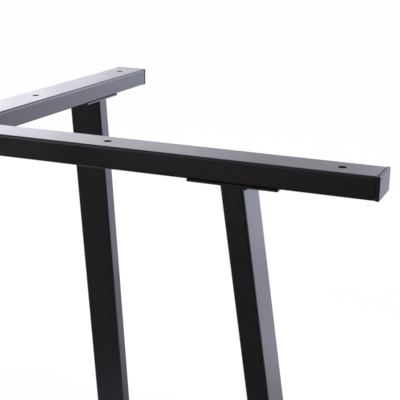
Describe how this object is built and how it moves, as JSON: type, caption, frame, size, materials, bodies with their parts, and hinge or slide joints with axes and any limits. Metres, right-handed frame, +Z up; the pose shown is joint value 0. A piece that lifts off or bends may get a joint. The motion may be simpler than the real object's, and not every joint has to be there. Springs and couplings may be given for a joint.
{
  "type": "table base",
  "caption": "Cross-shaped black steel table base: two flat tube beams lapped at the centre, with a splayed tube leg screwed under each arm.",
  "frame": {"origin": "on the floor, under the crossing of the two beams", "axes": "+Z up; X and Y are level, with the beams along their diagonals; the seen arms are front right and back right"},
  "size_m": [0.9264, 0.9264, 0.72],
  "materials": {
    "powder_coat": "satin black powder coat with a fine grain",
    "cap_plastic": "moulded black plastic, finely eroded",
    "black_screw": "black oxide steel",
    "zinc_nut": "bright zinc plate"
  },
  "bodies": {
    "root": {"upper_beam": "powder_coat", "lower_beam": "powder_coat", "centre_boss": "powder_coat", "centre_screw": "black_screw", "rivet_nuts": "zinc_nut", "plate_screws": "black_screw", "end_cap_back_right": "cap_plastic", "end_cap_back_left": "cap_plastic", "end_cap_front_left": "cap_plastic", "end_cap_front_right": "cap_plastic", "leg_plate_back_right": "powder_coat", "leg_plate_back_left": "powder_coat", "leg_plate_front_left": "powder_coat", "leg_plate_front_right": "powder_coat", "leg_tube_back_right": "powder_coat", "leg_tube_back_left": "powder_coat", "leg_tube_front_left": "powder_coat", "leg_tube_front_right": "powder_coat", "leg_weld_back_right": "powder_coat", "leg_weld_back_left": "powder_coat", "leg_weld_front_left": "powder_coat", "leg_weld_front_right": "powder_coat", "foot_cap_back_right": "cap_plastic", "foot_cap_back_left": "cap_plastic", "foot_cap_front_left": "cap_plastic", "foot_cap_front_right": "cap_plastic"}
  },
  "joints": []
}
